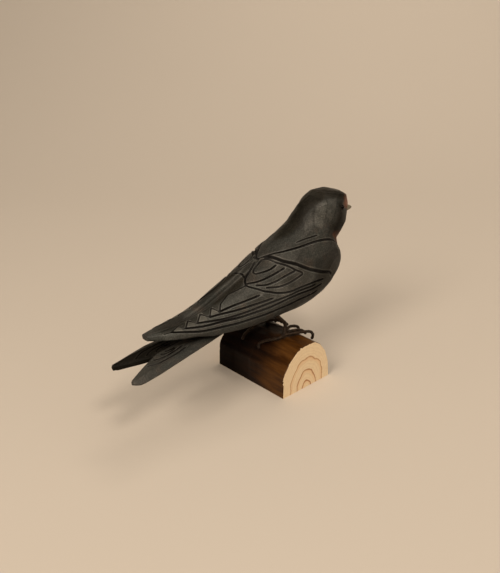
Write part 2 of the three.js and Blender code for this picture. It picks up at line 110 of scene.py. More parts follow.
PRIMARIES = [
    [(1.82, 0.27), (2.83, 0.394), (3.87, 0.486), (5.03, 0.519), (6.07, 0.554), (7.3, 0.585),
     (8.08, 0.592), (9.5, 0.618)],
    [(2.58, 0.278), (3.62, 0.391), (4.58, 0.448), (5.53, 0.478), (6.7, 0.516), (8.03, 0.54),
     (9.8, 0.588)],
    [(3.18, 0.272), (4.15, 0.393), (5.08, 0.435), (6.07, 0.461), (7.35, 0.504), (8.03, 0.515),
     (9.4, 0.548)],
    [(3.8, 0.29), (4.67, 0.365), (5.58, 0.411), (6.72, 0.458)],
    [(4.25, 0.295), (4.75, 0.314), (5.2, 0.336), (5.67, 0.356), (6.07, 0.369)],
]
FEATHER_TIPS = [
    (1.42, 0.283), (1.82, 0.27), (2.34, 0.18), (2.58, 0.278), (2.9, 0.166), (3.18, 0.272),
    (3.55, 0.17), (3.8, 0.29), (4.07, 0.185), (4.25, 0.295), (4.45, 0.215), (4.85, 0.179),
    (5.6, 0.225),
]


def between(rows, at):
    """Smooth values of every column of a table at row numbers that need not be whole."""
    rows = np.asarray(rows, float)
    last = len(rows) - 1
    at = np.clip(np.asarray(at, float), 0, last - 1e-9)
    i = np.floor(at).astype(int)
    t = (at - i)[..., None]
    a = rows[np.maximum(i - 1, 0)]
    b = rows[i]
    c = rows[i + 1]
    d = rows[np.minimum(i + 2, last)]
    return b + 0.5 * t * ((c - a) + t * ((2 * a - 5 * b + 4 * c - d) + t * (3 * (b - c) + d - a)))


def skin(section, girth):
    """Points of the carving's smooth skin on its right side; girth under 0 or over 1 wraps to the left."""
    section, v = np.broadcast_arrays(np.asarray(section, float), np.asarray(girth, float))
    side = np.where((v < 0) | (v > 1), 1.0, -1.0)
    v = np.where(v < 0, -v, np.where(v > 1, 2 - v, v))
    columns = np.moveaxis(between(SECTIONS, section), -1, 0)
    back_x, back_z, belly_x, belly_z, width, widest, upper, lower, edge, ridge, valley, lip = columns
    quarter = math.pi / 2
    ridge_angle = np.arcsin(np.minimum(ridge / width, 0.9) ** (upper / 2))
    edge_angle = np.arcsin(np.clip((edge - widest) / (1 - widest), 0, 1) ** (lower / 2))
    wing_run = (quarter + edge_angle - ridge_angle) / (WING_EDGE - RIDGE)
    belly_run = (quarter - edge_angle) / (1 - WING_EDGE)
    angle = np.where(
        v < RIDGE,
        ridge_angle * v / RIDGE,
        np.where(
            v < WING_EDGE,
            ridge_angle + wing_run * (v - RIDGE),
            quarter + edge_angle + belly_run * (v - WING_EDGE),
        ),
    )
    high = np.minimum(angle, quarter)
    low = np.clip(angle - quarter, 0, quarter)
    above = angle <= quarter
    down = np.where(
        above,
        widest * (1 - np.cos(high).clip(0) ** (2 / upper)),
        widest + (1 - widest) * np.sin(low) ** (2 / lower),
    )
    out = width * np.where(above, np.sin(high) ** (2 / upper), np.cos(low).clip(0) ** (2 / lower))
    lip_share = np.clip(1 - (WING_EDGE - v) / LIP_RUN, 0, 1) ** LIP_CURVE
    into = np.clip((v - WING_EDGE) / (UNDER_WING - WING_EDGE), 0, 1)
    fade = np.clip((1 - v) / (1 - UNDER_WING), 0, 1)
    undercut = np.clip(lip, 0, 1) * UNDERCUT * into * fade
    out = np.where(v <= WING_EDGE, out + lip * lip_share, out - undercut)
    height = np.hypot(belly_x - back_x, belly_z - back_z)
    sunk = down + valley * np.maximum(1 - v / RIDGE, 0) / height
    x = back_x + (belly_x - back_x) * sunk
    z = back_z + (belly_z - back_z) * sunk
    return np.stack([x, side * np.maximum(out, 0), z], axis=-1)


def skin_normal(section, girth, step=0.01):
    along = skin(np.asarray(section) + step, girth) - skin(np.asarray(section) - step, girth)
    down = skin(section, np.asarray(girth) + step) - skin(section, np.asarray(girth) - step)
    out = np.cross(down, along)
    return out / np.linalg.norm(out, axis=-1, keepdims=True).clip(1e-9)


def smooth(low, high, value):
    t = np.clip((value - low) / (high - low), 0, 1)
    return t * t * (3 - 2 * t)


class Line:
    """A carved line: its points in space, and for any vertex the distance, side and place along it."""

    def __init__(self, points, normals):
        self.a, self.b = points[:-1], points[1:]
        self.normals = (normals[:-1] + normals[1:]) / 2
        lengths = np.linalg.norm(self.b - self.a, axis=1)
        self.lengths = lengths
        self.starts = np.concatenate([[0], np.cumsum(lengths)[:-1]])
        self.total = lengths.sum()

    def near(self, points, reach):
        """Row numbers of the points within reach, their distances, signed sides and places along."""
        low = np.minimum(self.a, self.b).min(0) - reach
        high = np.maximum(self.a, self.b).max(0) + reach
        rows = np.nonzero(((points > low) & (points < high)).all(1))[0]
        p = points[rows]
        best = np.full(len(rows), 1e9)
        side = np.zeros(len(rows))
        place = np.zeros(len(rows))
        for a, b, normal, length, start in zip(self.a, self.b, self.normals, self.lengths, self.starts):
            run = b - a
            t = np.clip(((p - a) @ run) / (length * length), 0, 1)
            gap = p - (a + t[:, None] * run)
            distance = np.linalg.norm(gap, axis=1)
            closer = distance < best
            across = np.cross(run / length, normal)
            best = np.where(closer, distance, best)
            side = np.where(closer, gap @ across, side)
            place = np.where(closer, start + t * length, place)
        keep = best < reach
        return rows[keep], best[keep], side[keep], place[keep]


def skin_line(path, pieces=5):
    at = np.linspace(0, len(path) - 1, (len(path) - 1) * pieces + 1)
    section, girth = between(path, at).T
    return Line(skin(section, girth), skin_normal(section, girth))


def straight_lines(path):
    return [
        Line(skin(*np.linspace(p, q, 5).T), skin_normal(*np.linspace(p, q, 5).T))
        for p, q in zip(path[:-1], path[1:])
    ]


# Fine skin of the swallow, and the names of the paint shares that its mesh carries, painted light and
# shade among them
PAINT_KEYS = ("line", "ground", "worn", "pale", "rust", "tone", "beak")
COLUMNS = 300
GROOVE_CURVE = 0.9
LINE_START = -0.6
AROUND = [(0, RIDGE, 14), (RIDGE, WING_EDGE, 94), (WING_EDGE, UNDER_WING, 6), (UNDER_WING, 1, 24)]


def even_sections(count):
    """Section numbers that lie at even distances along the carving's side."""
    fine = np.linspace(0, len(SECTIONS) - 1, 2001)
    steps = np.linalg.norm(np.diff(skin(fine, 0.35), axis=0), axis=1)
    along = np.concatenate([[0], np.cumsum(steps)])
    return np.interp(np.linspace(0, along[-1], count), along, fine)


sections = even_sections(COLUMNS)
girths = np.concatenate([np.linspace(a, b, n, endpoint=False) for a, b, n in AROUND] + [[1.0]])
grid_s, grid_v = np.meshgrid(sections, girths, indexing="ij")
base = skin(grid_s, grid_v)
normal = skin_normal(grid_s, grid_v)
flat_base = base.reshape(-1, 3)
flat_normal = normal.reshape(-1, 3)
flat_s = grid_s.ravel()
flat_v = grid_v.ravel()
count = len(flat_base)
sunk = np.zeros(count)
line_dark = np.zeros(count)
laps = np.zeros(count)
worn = np.zeros(count)


def cut(line, half_width, depth, run_out=(3, 3), lap=0.0, lap_reach=3.0, dark=0.85):
    """Sinks a V-shaped line into the skin, with an optional lap: its negative side lies lower.

    Its dark paint is stored as 1 on the line, falling to a half at the given share of its half width.
    """
    reach = max(half_width * 2, lap_reach if lap else 0)
    for mirror in (1, -1):
        points = flat_base * [1, mirror, 1]
        rows, distance, side, place = line.near(points, reach)
        ends = np.ones(len(rows))
        if run_out[0]:
            ends *= smooth(LINE_START, run_out[0], place)
        if run_out[1]:
            ends *= smooth(LINE_START, run_out[1], line.total - place)
        groove = depth * np.clip(1 - distance / half_width, 0, 1) ** GROOVE_CURVE * ends
        sunk[rows] = np.maximum(sunk[rows], groove)
        painted = np.clip(1 - 0.5 * distance / (dark * half_width), 0, 1) * ends
        line_dark[rows] = np.maximum(line_dark[rows], painted)
        if lap and mirror == 1:
            lower = np.where(side < 0, lap * np.clip(1 - distance / lap_reach, 0, 1), 0) * ends
            laps[rows] = np.maximum(laps[rows], lower)


cut(skin_line(COLLAR), 0.75, 0.8, run_out=(0, 0), lap=0.7, lap_reach=6)
cut(skin_line(COLLAR_ABOVE), 0.6, 0.4, dark=0.75)
cut(skin_line(WING_FRONT), 1.05, 1.3, run_out=(5, 2.5), dark=0.9)
cut(skin_line(MANTLE_END), 0.65, 0.6, run_out=(0, 2))
cut(skin_line(COVERT_EDGE), 0.7, 0.7, run_out=(3, 3), lap=0.45, lap_reach=2.6)
cut(skin_line(COVERT_BAR), 0.65, 0.6, run_out=(2, 2))
for path in COVERTS:
    cut(skin_line(path), 0.65, 0.6, run_out=(0, 1.5), lap=0.3, lap_reach=2.2)
for path in PRIMARIES:
    cut(skin_line(path), 0.7, 0.72, run_out=(0, 5), lap=0.28, lap_reach=2.4)
for stroke in straight_lines(FEATHER_TIPS):
    cut(stroke, 0.5, 0.4, run_out=(0, 0))
sunk += laps

# Ground between the feather tips and the wing's inner edge, cut lower than the feathers
GROUND_DEPTH = 0.75
GROUND_EDGE = 0.012
TOOTH_EDGE = 0.008
TIP_BEVEL = 0.35
LIT_TIP_EDGE = 0.35
tips = np.array(FEATHER_TIPS)
notches = np.array(FEATHER_TIPS[1::2])
tip_girth = np.interp(flat_s, tips[:, 0], tips[:, 1])
notch_girth = np.interp(flat_s, notches[:, 0], notches[:, 1])
in_ground = smooth(1.2, 1.5, flat_s) * smooth(5.6, 5.35, flat_s)
ground = smooth(0, GROUND_EDGE, tip_girth - flat_v) * in_ground
ground *= smooth(RIDGE - GROUND_EDGE, RIDGE + GROUND_EDGE, flat_v)
tooth = smooth(0, TOOTH_EDGE, flat_v - tip_girth) * smooth(0, TOOTH_EDGE, notch_girth - flat_v)
tooth *= in_ground * smooth(4.5, 4.3, flat_s)
bevel = TIP_BEVEL * tooth * np.clip((notch_girth - flat_v) / 0.08, 0, 1)

# Pale belly, from the throat's lower edge to under the tail
pale = smooth(0.77, 0.86, flat_v) * smooth(0.3, 1.5, flat_s) * smooth(13.2, 12, flat_s)

# Patches as (share, soft edge in millimetres, outline of (section, girth)): the first table holds stops of
# painted light and shade, lighter where the carving faces the lights and darker where it faces away or
# lies in shade; the second holds shares of rusty red paint
LIGHT_AND_SHADE = [
    # nape and crown in painted shade
    (-1.4, 3.5, [(7.2, -0.1), (8.6, 0.1), (11, 0.12), (14, 0.13), (16.4, 0.15), (16.4, -0.1)]),
    (-1.2, 3, [(16.3, -0.1), (16.3, 0.16), (17.3, 0.2), (18.1, 0.27), (18.3, 0.5), (19.2, 0.62),
               (21, 0.66), (21, -0.1)]),
    # cheek and side of the neck: painted highlights on the facets that face the lights, painted shade
    # below the eye and on the front of the head
    (0.4, 2.5, [(7.7, 0.24), (9.2, 0.2), (11, 0.19), (13, 0.2), (15.5, 0.2), (15.6, 0.27),
                (14.4, 0.37), (12.8, 0.36), (11.6, 0.33), (11.2, 0.4), (9.8, 0.42), (8.4, 0.33)]),
    (0.75, 0.5, [(14.4, 0.15), (16.9, 0.18), (15.7, 0.25), (14.1, 0.31), (11.7, 0.3), (11.2, 0.23),
                 (12.4, 0.19)]),
    (0.6, 0.5, [(17, 0.2), (17.8, 0.33), (15.9, 0.37), (14.1, 0.41), (14.2, 0.32)]),
    (0.5, 0.5, [(11.1, 0.09), (13.2, 0.13), (11.1, 0.22), (10.1, 0.19)]),
    (-0.9, 1.5, [(13.2, 0.47), (14.2, 0.5), (15.6, 0.5), (15.6, 0.62), (14.9, 0.68), (13.6, 0.62)]),
    (-1.1, 2.5, [(11.9, 0.37), (13.4, 0.41), (14.6, 0.47), (16, 0.43), (17, 0.37), (17.4, 0.44),
                 (16, 0.56), (15, 0.68), (13.6, 0.66), (12.6, 0.5)]),
    (-0.7, 2.5, [(18, -0.1), (18, 0.3), (18.5, 0.48), (19.2, 0.66), (21, 0.66), (21, -0.1)]),
    # breast and shoulder: painted shade on the breast, painted light on the shoulder above the wing's
    # front
    (-0.45, 0.6, [(9.6, 0.39), (11.3, 0.46), (12.2, 0.52), (12, 0.66), (9, 0.68), (8.9, 0.53)]),
    (0.6, 2, [(6.9, 0.18), (7.9, 0.2), (8.4, 0.36), (9.4, 0.44), (9.3, 0.52), (8.2, 0.53),
              (7.2, 0.53), (6.6, 0.42)]),
    (-0.8, 3, [(7.6, 0.56), (8.6, 0.53), (9.7, 0.49), (10.6, 0.5), (11, 0.58), (10.6, 0.68),
               (8, 0.7), (6.6, 0.66)]),
    # wing and its tip in painted light
    (0.6, 3.5, [(1.3, 0.3), (3, 0.28), (4.4, 0.22), (5.6, 0.25), (6.8, 0.33), (7.3, 0.42),
                (7.4, 0.52), (6, 0.54), (4, 0.5), (2.5, 0.5), (1.5, 0.56)]),
    (0.5, 2.5, [(-0.5, 0.1), (0.9, 0.1), (1.9, 0.26), (1.9, 0.6), (-0.5, 0.7)]),
    # inner edges of the wings: a painted highlight along the ridge, painted shade just outside it
    (1.1, 0.7, [(6.1, 0.04), (6.1, 0.075), (5, 0.075), (3.6, 0.065), (3, 0.05), (3.6, 0.03),
                (5, 0.035)]),
    (-0.8, 0.8, [(6, 0.09), (5.9, 0.13), (5.5, 0.19), (4.3, 0.18), (4.2, 0.14), (5, 0.12)]),
    # lower back between the wings in painted shade
    (-0.8, 3, [(1.2, -0.1), (1.3, 0.1), (2, 0.2), (2.9, 0.2), (3, 0.1), (3.1, -0.1)]),
    (-0.6, 2, [(3.9, -0.1), (3.9, 0.14), (5, 0.15), (5.6, 0.2), (6, 0.12), (5, 0.1), (5, -0.1)]),
]
RUST = [
    (0.9, 1, [(19.2, 0.6), (18.8, 0.53), (18.3, 0.5), (17.5, 0.5), (17.2, 0.55), (17.2, 1.1),
              (19.2, 1.1)]),
    (0.65, 1.2, [(12.7, 0.45), (13.6, 0.5), (14.6, 0.6), (15.2, 0.7), (16.4, 0.9), (16.4, 1.1),
                 (13.4, 1.1), (13.3, 0.66), (12.9, 0.56)]),
]
# Painted highlight on the ends of the long feathers, where their facets face the lights
LIT_TIP_PATCHES = [
    [(4, 0.19), (4.15, 0.18), (4.2, 0.29), (3.83, 0.26)],
    [(3.52, 0.13), (3.68, 0.17), (3.66, 0.3), (3.17, 0.265)],
    [(2.77, 0.16), (3.03, 0.16), (3.06, 0.29), (2.58, 0.26)],
    [(2.08, 0.21), (2.38, 0.175), (2.42, 0.32), (1.78, 0.27)],
]


def inside(outline):
    """Whether each vertex lies inside a closed outline of (section, girth)."""
    found = np.zeros(count, bool)
    for (s0, v0), (s1, v1) in zip(outline, outline[1:] + outline[:1]):
        if v0 != v1:
            crossing = (v0 > flat_v) != (v1 > flat_v)
            found ^= crossing & (flat_s < s0 + (flat_v - v0) / (v1 - v0) * (s1 - s0))
    return found


def patch(outline, edge):
    """1 inside an outline, fading to 0 outside it over an edge in millimetres."""
    loop = np.array([*outline, outline[0]], float)
    at = np.linspace(0, len(outline), 4 * len(outline) + 1)
    section, girth = (np.interp(at, np.arange(len(loop)), column) for column in loop.T)
    rows, distance, _, _ = Line(skin(section, girth), skin_normal(section, girth)).near(flat_base, edge)
    within = inside(outline)
    signed = np.where(within, edge, -edge)
    signed[rows] = np.where(within[rows], distance, -distance)
    return smooth(-edge, edge, signed)


# Stops of painted light and shade, and shares of rusty red paint
tone = np.zeros(count)
rust = np.zeros(count)
for share, edge, outline in LIGHT_AND_SHADE:
    tone += share * patch(outline, edge)
for share, edge, outline in RUST:
    rust = np.maximum(rust, share * patch(outline, edge))
for outline in LIT_TIP_PATCHES:
    worn = np.maximum(worn, patch(outline, LIT_TIP_EDGE))
ground *= 1 - worn
sunk += GROUND_DEPTH * ground + bevel

flat = flat_base - flat_normal * sunk[:, None]


# Knife facets: (section, girth) of the middle of each plane, its depth and its reach
FACET_TILT = 0.035
FACET_STRAY = 0.2
FACET_LEFT_AT_LINES = 0.2


def facet_rows(stations, girth_steps, depth, reach):
    """Staggered rows of knife facets with a carver's unevenness."""
    places = []
    for k, station in enumerate(stations):
        for j in range(girth_steps + 1):
            v = (j + (0.5 if k % 2 else 0)) / girth_steps
            if v > 1:
                continue
            stray = random.uniform(-FACET_STRAY, FACET_STRAY, 2)
            step = np.diff(stations).mean()
            s = station + stray[0] * step
            v = np.clip(v + stray[1] / girth_steps, 0, 1)
            places.append((s, v, depth * random.uniform(0.6, 1.15), reach))
    return places


def facet_cut(points, mask, places, side):
    """Planes that shave the skin: each point moves in to the deepest plane near it."""
    deepest = np.zeros(len(points))
    for s, v, depth, reach in places:
        centre = skin(s, v) * [1, side, 1]
        out = skin_normal(s, v) * [1, side, 1] + random.normal(0, FACET_TILT, 3)
        out /= np.linalg.norm(out)
        gap = points - centre
        distance = np.linalg.norm(gap, axis=1)
        near = np.nonzero(mask & (distance < reach))[0]
        above = np.minimum(gap[near] @ out + depth, depth * 1.25)
        above *= smooth(reach, 0.7 * reach, distance[near])
        deepest[near] = np.maximum(deepest[near], above)
    return deepest


HEAD_FACETS = facet_rows((8.2, 9.6, 11, 12.5, 14, 15.5, 17, 18.5, 19.6), 8, 0.36, 8.5)
WING_FACETS = facet_rows((0.8, 2, 3.2, 4.3, 5.3, 6.3, 7.3, 8.4), 10, 0.12, 6)
BELLY_FACETS = facet_rows((0.6, 2.4, 4, 5.5, 7, 8.5, 10, 11.5), 9, 0.34, 9)


def faceted(side):
    """The carved skin of one side with its knife facets."""
    points = flat * [1, side, 1]
    normals = flat_normal * [1, side, 1]
    wing_front = np.array(WING_FRONT)
    front = flat_s > np.interp(flat_v, wing_front[:, 1], wing_front[:, 0])
    head = front | ((flat_s > 10.6) & (flat_v > 0.63))
    belly = (flat_v > UNDER_WING) & (flat_s < 11.5)
    wing = ~front & (flat_v > RIDGE) & (flat_v <= UNDER_WING)
    shave = facet_cut(points, head, HEAD_FACETS, side)
    shave = np.maximum(shave, facet_cut(points, belly, BELLY_FACETS, side))
    shave = np.maximum(shave, facet_cut(points, wing, WING_FACETS, side))
    shave *= 1 - (1 - FACET_LEFT_AT_LINES) * smooth(0.4, 1, line_dark)
    return points - normals * shave[:, None]


def closed_body():
    """Rings of the body: right and left sides share their middle lines."""
    right = faceted(1).reshape(*grid_s.shape, 3)
    left = faceted(-1).reshape(*grid_s.shape, 3)
    left[:, 0] = right[:, 0]
    left[:, -1] = right[:, -1]
    right[:, 0, 1] = left[:, 0, 1] = 0
    right[:, -1, 1] = left[:, -1, 1] = 0
    return np.concatenate([right, left[:, -2:0:-1]], axis=1)


def ring_values(values):
    """A value per grid vertex, laid out like the rings of closed_body."""
    table = values.reshape(grid_s.shape)
    return np.concatenate([table, table[:, -2:0:-1]], axis=1)


def skin_over(rings, values):
    """Quads over rings, and a fan of triangles over both ends."""
    n, m, _ = rings.shape
    points = rings.reshape(-1, 3)
    i, j = np.meshgrid(np.arange(n - 1), np.arange(m), indexing="ij")
    a = i * m + j
    b = i * m + (j + 1) % m
    faces = np.stack([a, b, b + m, a + m], axis=-1).reshape(-1, 4).tolist()
    hubs = []
    for end, start in ((0, 0), (1, (n - 1) * m)):
        middle = points[start:start + m].mean(0)
        hub = len(points) + end
        hubs.append(middle)
        for k in range(m):
            nxt = start + (k + 1) % m
            faces.append([hub, nxt, start + k] if end == 0 else [hub, start + k, nxt])
    points = np.concatenate([points, hubs])
    values = np.concatenate([values.reshape(-1, values.shape[-1]), np.zeros((2, values.shape[-1]))])
    values[-2] = values[0]
    values[-1] = values[-3]
    return points, faces, values


def make_mesh(name, points, faces, attributes=None, smooth_angle=None):
    mesh = bpy.data.meshes.new(name)
    mesh.from_pydata((np.asarray(points) * MM).tolist(), [], faces)
    for key, values in (attributes or {}).items():
        layer = mesh.attributes.new(key, "FLOAT", "POINT")
        layer.data.foreach_set("value", np.ascontiguousarray(values, dtype=np.float32))
    mesh.validate()
    thing = bpy.data.objects.new(name, mesh)
    bpy.context.scene.collection.objects.link(thing)
    if smooth_angle is not None:
        mesh.shade_smooth()
        mesh.set_sharp_from_angle(angle=math.radians(smooth_angle))
    return thing


# Forked tail
# Tail halves: x, inner edge, ridge of the upper face and outer edge, from root to tip
RIGHT_PRONG = [
    (-34, 1.5, -5.6, -8), (-54, 1.5, -6.8, -10), (-74, 1.5, -8.2, -11.6), (-85, 1.2, -9.1, -12.4),
    (-91, 0, -9.6, -12.9), (-98, -2.5, -10, -13.3), (-105, -5.5, -10.4, -13.3),
    (-109.6, -7.8, -10.5, -12.5), (-111.8, -9.5, -10.4, -11.2),
]
LEFT_PRONG = [
    (-34, 1.5, -5.6, -8), (-54, 1.5, -6.8, -10.6), (-74, 1.5, -8.4, -13), (-84, 1.2, -9.3, -14.4),
    (-89.5, 0, -9.8, -14.2), (-96.5, -2.5, -10.1, -13.8), (-103, -5.5, -10.2, -13.1),
    (-107.6, -7.6, -10.1, -12), (-109.8, -9, -9.9, -10.7),
]
# Corners round a tail half: which edge of the row, how far inward and how far under the top
PRONG_PROFILE = [
    (1, 0, 1.1), (1, 0.9, 0.2), (2, 0, 0), (3, 0, 2.2), (3, 0.5, 3.2), (3, 2, 4), (1, 0, 3.2),
]
PRONG_CUTS = [2, 24, 7, 2, 2, 8, 3]
PRONG_RINGS = 112
PRONG_THIN_FROM = -108
PRONG_THIN_RUN = 9
TAIL_TOP = 45.2
TAIL_RISE = 0.1
TAIL_MIDDLE = -93
TAIL_TURN = math.radians(1)
TAIL_TURN_AT = -40
TAIL_LAP = 0.3
TAIL_LAP_REACH = 3
TAIL_DARK = 0.95
# Painted light and shade on the tail halves, in stops: the left half much darker in painted shade where
# the wing tips shade it, both lighter in painted light towards their free tips
PRONG_LIGHT_AND_SHADE = {1: 0.1, -1: -2.3}
PRONG_TIP_HIGHLIGHT = 0.4
PRONG_TIP_FROM = -92
PRONG_TIP_TO = -102
# Path of (x, distance from the middle), half width and depth
TAIL_LINES = [
    ([(-99, -4.8), (-93.4, -7.4), (-88.7, -7.8), (-80.7, -7.7), (-70.8, -6.2)], 0.55, 0.75),
    ([(-93.4, -2.6), (-89.8, -4.6), (-85.5, -5.2), (-78, -4.7), (-71, -3.4)], 0.5, 0.6),
    ([(-87.6, -1.2), (-85.2, -3), (-81, -3.5), (-74, -2.4)], 0.45, 0.5),
    ([(-84.4, -0.6), (-82.6, -1.9), (-79, -2.2), (-74, -1.2)], 0.4, 0.4),
]


def tail_top(x):
    return TAIL_TOP + TAIL_RISE * (x - TAIL_MIDDLE)


def turned_with_tail(p):
    x = p[..., 0] - TAIL_TURN_AT
    return np.stack([
        TAIL_TURN_AT + x * math.cos(TAIL_TURN) - p[..., 1] * math.sin(TAIL_TURN),
        x * math.sin(TAIL_TURN) + p[..., 1] * math.cos(TAIL_TURN),
        p[..., 2],
    ], axis=-1)


def prong(rows, side):
    """Rings of one tail half with its carved lines, and how dark each point is painted."""
    table = between(rows, np.linspace(0, len(rows) - 1, PRONG_RINGS))
    thin = 1 - np.clip((PRONG_THIN_FROM - table[:, 0]) / PRONG_THIN_RUN, 0, 1)
    corners = []
    for edge, inward, under in PRONG_PROFILE:
        y = table[:, edge] + (-inward if edge == 1 else inward) * thin
        corners.append(np.stack([table[:, 0], y, tail_top(table[:, 0]) - under * thin], axis=-1))
    columns = []
    upper = []
    for k, pieces in enumerate(PRONG_CUTS):
        start, end = corners[k], corners[(k + 1) % len(corners)]
        for t in np.arange(pieces) / pieces:
            columns.append(start + t * (end - start))
            upper.append(1.0 if k in (1, 2) else 0.0)
    rings = np.stack(columns, axis=1)
    upper = np.array(upper)
    flat_points = rings.reshape(-1, 3)
    sunk = np.zeros(len(flat_points))
    dark = np.zeros(len(flat_points))
    on_top = np.tile(upper, len(table))
    for path, half_width, depth in TAIL_LINES:
        at = between(path, np.linspace(0, len(path) - 1, 40))
        points = np.column_stack([at, tail_top(at[:, 0])])
        line = Line(points, np.tile([0.0, 0, 1], (len(points), 1)))
        near, distance, groove_edge_highlight, place = line.near(flat_points, TAIL_LAP_REACH + 1)
        ends = smooth(-0.5, 1.5, place) * smooth(-0.5, 6, line.total - place)
        groove = depth * np.clip(1 - distance / half_width, 0, 1) ** GROOVE_CURVE * ends
        lap = TAIL_LAP * np.where(groove_edge_highlight > 0, np.clip(1 - distance / TAIL_LAP_REACH, 0, 1), 0) * ends
        sunk[near] = np.maximum(sunk[near], groove + lap)
        painted = np.clip(1 - 0.5 * distance / (TAIL_DARK * half_width), 0, 1) * ends
        dark[near] = np.maximum(dark[near], painted)
    flat_points[:, 2] -= sunk * on_top
    rings = turned_with_tail(flat_points.reshape(rings.shape) * [1, side, 1])
    dark = (dark * on_top).reshape(rings.shape[:2])
    if side > 0:
        rings, dark = rings[:, ::-1], dark[:, ::-1]
    return rings, dark


# Beak: x, height of its middle and half its height, from root to blunt tip
BEAK = [
    (54, 92.8, 3.4), (58, 92.4, 2.9), (62, 91.8, 2.3), (65.4, 91.3, 1.6), (67.4, 91, 0.9),
    (68.2, 90.9, 0.3),
]
BEAK_FLATNESS = 0.85
BEAK_RINGS = 34


def beak():
    """Rings of the beak, with the mouth as a fine line on both sides."""
    angles = np.linspace(0, 2 * math.pi, 28, endpoint=False)
    mouth = 0.12 * np.exp(-((np.sin(angles) + 0.08) / 0.16) ** 2) * (np.abs(np.cos(angles)) > 0.3)
    rings = []
    for x, z, radius in between(BEAK, np.linspace(0, len(BEAK) - 1, BEAK_RINGS)):
        across = BEAK_FLATNESS * radius * (1 - mouth) * np.cos(angles)
        up = z + radius * (1 - mouth) * np.sin(angles)
        rings.append(np.stack([np.full(len(angles), x), across, up], axis=-1))
    return np.array(rings)


def shell(name, rings, **shares):
    """A closed shell over rings, with what is known of its paint."""
    values = np.zeros((*rings.shape[:2], len(PAINT_KEYS)))
    for key, share in shares.items():
        values[..., PAINT_KEYS.index(key)] = share
    points, faces, values = skin_over(rings, values)
    return make_mesh(name, points, faces, dict(zip(PAINT_KEYS, values.T)), 40)


def join(target, piece):
    """Unites a closed shell with the target."""
    union = target.modifiers.new("union", "BOOLEAN")
    union.operation = "UNION"
    union.solver = "MANIFOLD"
    union.object = piece
    depsgraph = bpy.context.evaluated_depsgraph_get()
    united = bpy.data.meshes.new_from_object(target.evaluated_get(depsgraph))
    target.modifiers.clear()
    target.data = united
    bpy.data.objects.remove(piece)
    united.shade_smooth()
    united.set_sharp_from_angle(angle=math.radians(38))


# The swallow in one mesh
swallow = shell(
    "swallow_carving",
    closed_body(),
    line=ring_values(line_dark),
    ground=ring_values(ground),
    worn=ring_values(worn),
    pale=ring_values(pale),
    rust=ring_values(rust),
    tone=ring_values(tone),
)
for name, rows, side in (("right_prong", RIGHT_PRONG, 1), ("left_prong", LEFT_PRONG, -1)):
    prong_rings, prong_dark = prong(rows, side)
    tip = smooth(PRONG_TIP_FROM, PRONG_TIP_TO, prong_rings[..., 0])
    # Painted shade on the left tail half, painted light towards both tips
    prong_tone = PRONG_LIGHT_AND_SHADE[side] + PRONG_TIP_HIGHLIGHT * tip
    join(swallow, shell(name, prong_rings, line=prong_dark, tone=prong_tone))
join(swallow, shell("beak_cone", beak(), beak=1.0))

# Eyes, set in small sockets
EYE_PLACE = (16.88, 0.475)
EYE_RADIUS = 1.75
EYE_SUNK = 0.45
EYE_FLAT = 0.9


def bead(name, side):
    """A polished bead, a little flatter along its own outward direction."""
    out = skin_normal(*EYE_PLACE)
    centre = skin(*EYE_PLACE) - EYE_SUNK * EYE_RADIUS * out
    out = out * [1, -side, 1]
    centre = centre * [1, -side, 1]
    across = np.cross(out, [0, 0, 1.0])
    across /= np.linalg.norm(across)
    up = np.cross(across, out)
    rings = []
    for polar in np.linspace(0.06, math.pi - 0.06, 22):
        turn = np.linspace(0, 2 * math.pi, 36, endpoint=False)[:, None]
        height = EYE_FLAT * math.cos(polar) * out
        round_it = np.cos(turn) * across + np.sin(turn) * up
        rings.append(centre + EYE_RADIUS * (height + math.sin(polar) * round_it))
    points, faces, _ = skin_over(np.array(rings), np.zeros((len(rings), 36, 1)))
    return make_mesh(name, points, faces, smooth_angle=80)


# Wire legs and toes
LEG_RADIUS = 1.25
TOE_RADIUS = 0.95
RIGHT_LEG = [
    (-8.6, -9.2, 46.2), (-6.4, -9.4, 42.6), (-3.2, -9.8, 39), (-0.9, -10.5, 36),
    (-1.9, -11.3, 32.8), (-3.2, -11.9, 30), (-3.5, -12, 25),
]
RIGHT_TOES = [
    [(-3.3, -12, 29.9), (0.1, -13.6, 30.1), (4.4, -15.4, 30), (8.8, -17, 29.7), (13.6, -18, 28.3),
     (16.1, -17.8, 25.4), (16.5, -16.6, 21.6)],
    [(-3.3, -12, 30), (1.4, -12.2, 30.6), (6.2, -13.4, 30.4), (10.4, -14.6, 28.8), (12.8, -15, 26)],
    [(-3.2, -11.9, 30.4), (0.6, -10.2, 31), (4.4, -8.7, 31.3), (8.2, -8.6, 30.6),
     (11.5, -9.3, 29.1), (12.4, -9.9, 26.6)],
    [(-3.3, -12, 29.9), (-6.4, -11.9, 29.3), (-10, -8.5, 27.9), (-12.3, -4.3, 26.1),
     (-14.9, -2.5, 24.2), (-16.3, -4, 22.4)],
]
LEFT_LEG = [
    (-5.4, 9.2, 46.2), (-3.4, 9.2, 42.6), (0, 9.2, 38.4), (2.6, 9, 35.6), (2.9, 8.7, 32),
    (2.7, 8.5, 25),
]
LEFT_TOES = [
    [(2.7, 8.5, 30), (8.4, 11.6, 29.7), (14.2, 14.6, 27.4), (16.4, 15.4, 24.6), (17.6, 15.6, 20.6)],
    [(2.7, 8.5, 30), (7.6, 8.1, 30.6), (12.4, 7.5, 28.3), (14.7, 7.3, 24.4)],
    [(2.7, 8.5, 30), (6.2, 4.9, 30.3), (9.8, 1, 29.2), (11.9, -1, 26.8)],
    [(2.7, 8.5, 30), (-4, 9.2, 30), (-10.4, 10, 27.8), (-14, 10.6, 25.8), (-16.3, 10.8, 22.6)],
]


